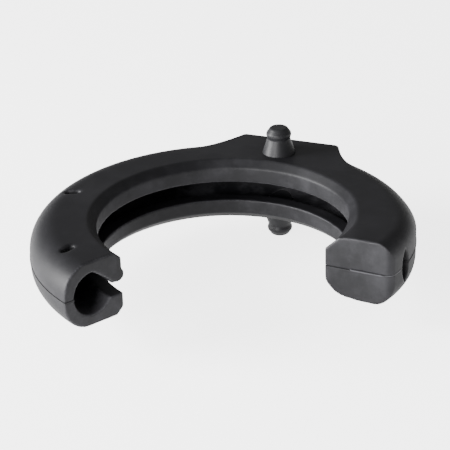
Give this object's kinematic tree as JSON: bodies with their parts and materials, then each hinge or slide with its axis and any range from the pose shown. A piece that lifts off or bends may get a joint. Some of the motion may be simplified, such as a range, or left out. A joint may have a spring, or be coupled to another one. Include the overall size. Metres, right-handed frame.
{
  "type": "coil spring insulator",
  "caption": "Open rubber ring of C section that clips over a coil's wire, with one blind end, a flat side pad and a barbed stud on each face.",
  "frame": {"origin": "centre of the coil that the ring fits, at the ring's mid height", "axes": "+Z along the coil's axis, towards the upper stud; +Y towards the flat side pad; the open side faces -Y"},
  "size_m": [0.1206, 0.1173, 0.0396],
  "materials": {
    "shell_rubber": "matt moulded black rubber",
    "bond_rubber": "satin squeezed-out bond line",
    "stud_rubber": "satin moulded black rubber",
    "dowel_steel": "plain drawn steel"
  },
  "bodies": {
    "root": {"upper_shell": "shell_rubber", "lower_shell": "shell_rubber", "seam_strip": "bond_rubber", "upper_stud": "stud_rubber", "lower_stud": "stud_rubber", "pad_dowel_left": "dowel_steel", "pad_dowel_right": "dowel_steel", "end_dowel": "dowel_steel"}
  },
  "joints": []
}
